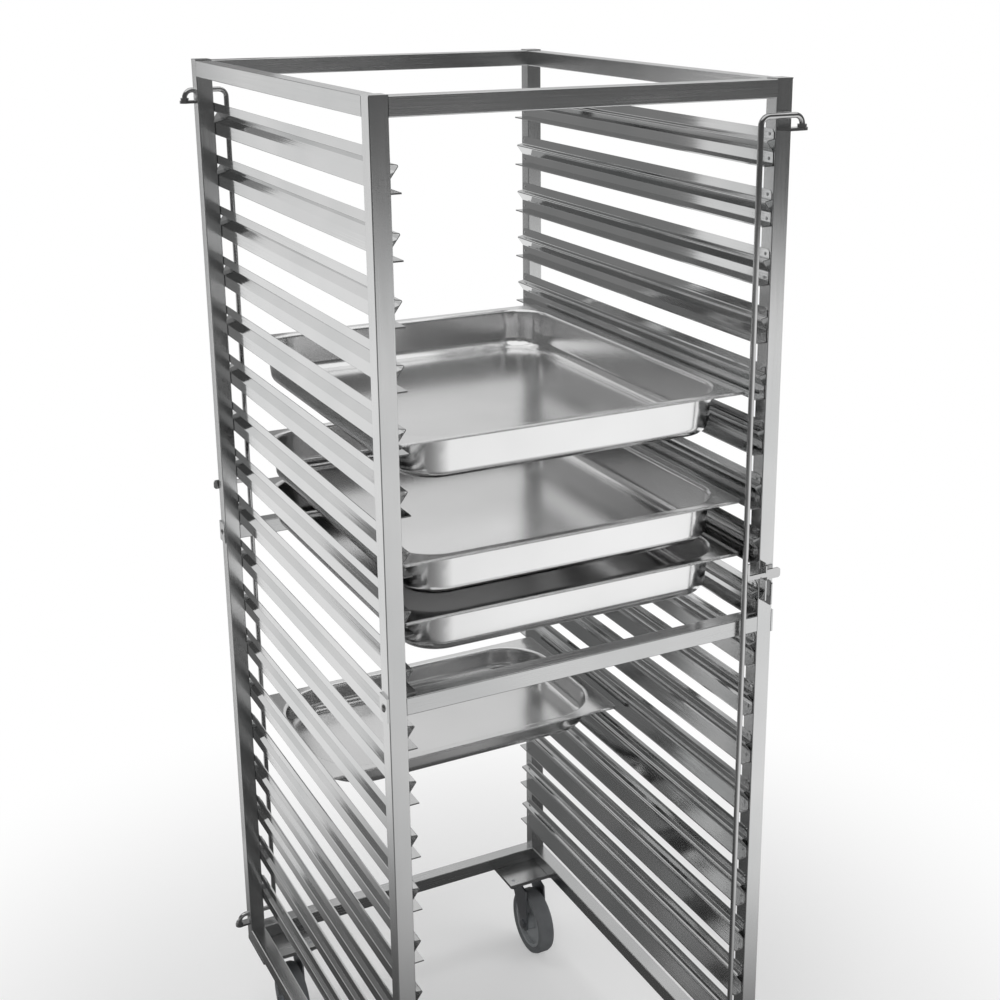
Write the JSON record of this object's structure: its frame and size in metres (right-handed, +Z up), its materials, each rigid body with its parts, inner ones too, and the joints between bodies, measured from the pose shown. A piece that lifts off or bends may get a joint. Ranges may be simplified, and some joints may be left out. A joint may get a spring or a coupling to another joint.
{
  "type": "gastronorm tray trolley",
  "caption": "Tall open rack trolley of square steel tube with ribbed side runners, slide-in food containers, hinged retaining rods and swivel casters.",
  "frame": {"origin": "centre of the footprint, on the floor under the tyres", "axes": "+X to the right seen from the front, +Y from front to back, +Z up"},
  "size_m": [0.64, 0.78, 1.7365],
  "materials": {
    "brushed_steel": "brushed",
    "runner_steel": "fine brushed",
    "tray_steel": "satin",
    "polished_steel": "polished",
    "zinc_steel": "zinc plated",
    "hub_plastic": "moulded",
    "grey_tyre": "matt"
  },
  "bodies": {
    "frame": {"post_front_left": "brushed_steel", "post_front_right": "brushed_steel", "post_rear_left": "brushed_steel", "post_rear_right": "brushed_steel", "top_cross_bars": "brushed_steel", "top_side_bars": "brushed_steel", "mid_cross_bars": "brushed_steel", "bottom_cross_bars": "brushed_steel", "bottom_side_bars": "brushed_steel", "rails_01": "runner_steel", "rails_02": "runner_steel", "rails_03": "runner_steel", "rails_04": "runner_steel", "rails_05": "runner_steel", "rails_06": "runner_steel", "rails_07": "runner_steel", "rails_08": "runner_steel", "rails_09": "runner_steel", "rails_10": "runner_steel", "rails_11": "runner_steel", "rails_12": "runner_steel", "rails_13": "runner_steel", "rails_14": "runner_steel", "rails_15": "runner_steel", "rails_16": "runner_steel", "rails_17": "runner_steel", "rails_18": "runner_steel", "connection_plates": "brushed_steel", "post_caps": "brushed_steel", "frame_bolts": "polished_steel", "latch_catches": "polished_steel", "rod_pivots": "polished_steel", "corner_plates": "brushed_steel", "caster_plates": "zinc_steel", "caster_bolts": "zinc_steel"},
    "front_rod": {"rod_front": "polished_steel", "handle_front": "polished_steel"},
    "rear_rod": {"rod_rear": "polished_steel", "handle_rear": "polished_steel"},
    "tray_a": {"tray_a": "tray_steel"},
    "tray_b": {"tray_b": "tray_steel"},
    "tray_c": {"tray_c": "tray_steel"},
    "tray_d": {"tray_d": "tray_steel"},
    "swivel_1": {"caster_fork_1": "zinc_steel"},
    "wheel_1": {"hub_1": "hub_plastic", "tyre_1": "grey_tyre"},
    "pedal_1": {"brake_pedal_1": "zinc_steel"},
    "swivel_2": {"caster_fork_2": "zinc_steel"},
    "wheel_2": {"hub_2": "hub_plastic", "tyre_2": "grey_tyre"},
    "pedal_2": {"brake_pedal_2": "zinc_steel"},
    "swivel_3": {"caster_fork_3": "zinc_steel"},
    "wheel_3": {"hub_3": "hub_plastic", "tyre_3": "grey_tyre"},
    "swivel_4": {"caster_fork_4": "zinc_steel"},
    "wheel_4": {"hub_4": "hub_plastic", "tyre_4": "grey_tyre"}
  },
  "joints": [
    {"name": "front_rod_swing", "type": "hinge", "parent": "frame", "child": "front_rod", "pos_m": [0.312, -0.382, 0.95], "axis": [0, 0, 1], "range_deg": [0, 180]},
    {"name": "rear_rod_swing", "type": "hinge", "parent": "frame", "child": "rear_rod", "pos_m": [-0.312, 0.382, 0.95], "axis": [0, 0, 1], "range_deg": [0, 180]},
    {"name": "tray_a_slide", "type": "slide", "parent": "frame", "child": "tray_a", "axis": [0, 1, 0], "range_m": [-0.033, 0.071]},
    {"name": "tray_b_slide", "type": "slide", "parent": "frame", "child": "tray_b", "axis": [0, 1, 0], "range_m": [-0.033, 0.071]},
    {"name": "tray_c_slide", "type": "slide", "parent": "frame", "child": "tray_c", "axis": [0, 1, 0], "range_m": [-0.033, 0.071]},
    {"name": "tray_d_slide", "type": "slide", "parent": "frame", "child": "tray_d", "axis": [0, 1, 0], "range_m": [-0.384, 0.045]},
    {"name": "swivel_1_turn", "type": "hinge", "parent": "frame", "child": "swivel_1", "pos_m": [-0.2475, -0.33, 0.142], "axis": [0, 0, 1], "continuous": true},
    {"name": "wheel_1_roll", "type": "hinge", "parent": "swivel_1", "child": "wheel_1", "pos_m": [-0.2475, -0.294, 0.0625], "axis": [1, 0, 0], "continuous": true},
    {"name": "pedal_1_press", "type": "hinge", "parent": "swivel_1", "child": "pedal_1", "pos_m": [-0.2475, -0.268, 0.1315], "axis": [-1, 0, 0], "range_deg": [0, 20]},
    {"name": "swivel_2_turn", "type": "hinge", "parent": "frame", "child": "swivel_2", "pos_m": [0.2475, -0.33, 0.142], "axis": [0, 0, 1], "continuous": true},
    {"name": "wheel_2_roll", "type": "hinge", "parent": "swivel_2", "child": "wheel_2", "pos_m": [0.2475, -0.294, 0.0625], "axis": [1, 0, 0], "continuous": true},
    {"name": "pedal_2_press", "type": "hinge", "parent": "swivel_2", "child": "pedal_2", "pos_m": [0.2475, -0.268, 0.1315], "axis": [-1, 0, 0], "range_deg": [0, 20]},
    {"name": "swivel_3_turn", "type": "hinge", "parent": "frame", "child": "swivel_3", "pos_m": [-0.2475, 0.33, 0.142], "axis": [0, 0, 1], "continuous": true},
    {"name": "wheel_3_roll", "type": "hinge", "parent": "swivel_3", "child": "wheel_3", "pos_m": [-0.2475, 0.294, 0.0625], "axis": [1, 0, 0], "continuous": true},
    {"name": "swivel_4_turn", "type": "hinge", "parent": "frame", "child": "swivel_4", "pos_m": [0.2475, 0.33, 0.142], "axis": [0, 0, 1], "continuous": true},
    {"name": "wheel_4_roll", "type": "hinge", "parent": "swivel_4", "child": "wheel_4", "pos_m": [0.2475, 0.294, 0.0625], "axis": [1, 0, 0], "continuous": true}
  ]
}
